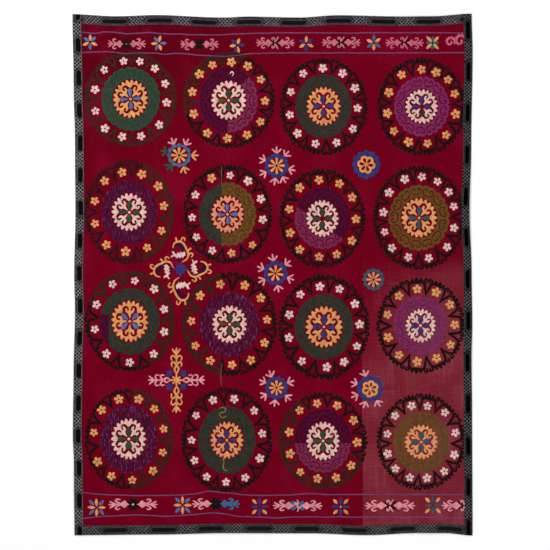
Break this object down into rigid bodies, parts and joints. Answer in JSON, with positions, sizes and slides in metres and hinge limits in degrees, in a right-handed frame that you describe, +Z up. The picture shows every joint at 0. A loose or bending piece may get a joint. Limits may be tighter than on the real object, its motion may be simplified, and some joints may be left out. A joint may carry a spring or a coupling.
{
  "type": "suzani embroidered textile",
  "caption": "Large embroidered cotton hanging of sewn widths, edged with a turned-over woven tape, laid face up.",
  "frame": {"origin": "centre of the hanging's outline, on the surface that it lies on", "axes": "+X to the right and +Y to the top edge as seen from above with the face up, +Z up from the surface"},
  "size_m": [1.8, 2.347, 0.0074],
  "materials": {
    "madder_cotton": "matt dark red plain weave",
    "faded_cotton": "matt plain weave, faded to a dusty red with creases",
    "edging_tape": "woven tape, near black with grey figures",
    "yellow_thread": "silk embroidery thread with a soft sheen",
    "cream_thread": "silk embroidery thread with a soft sheen",
    "pink_thread": "silk embroidery thread with a soft sheen",
    "green_thread": "silk embroidery thread with a soft sheen",
    "blue_thread": "silk embroidery thread with a soft sheen",
    "violet_thread": "silk embroidery thread with a soft sheen",
    "dark_thread": "silk embroidery thread, brown black"
  },
  "bodies": {
    "root": {"cotton_left": "madder_cotton", "cotton_middle": "madder_cotton", "cotton_right": "faded_cotton", "tape_left": "edging_tape", "tape_right": "edging_tape", "tape_top": "edging_tape", "tape_bottom": "edging_tape"}
  },
  "joints": []
}
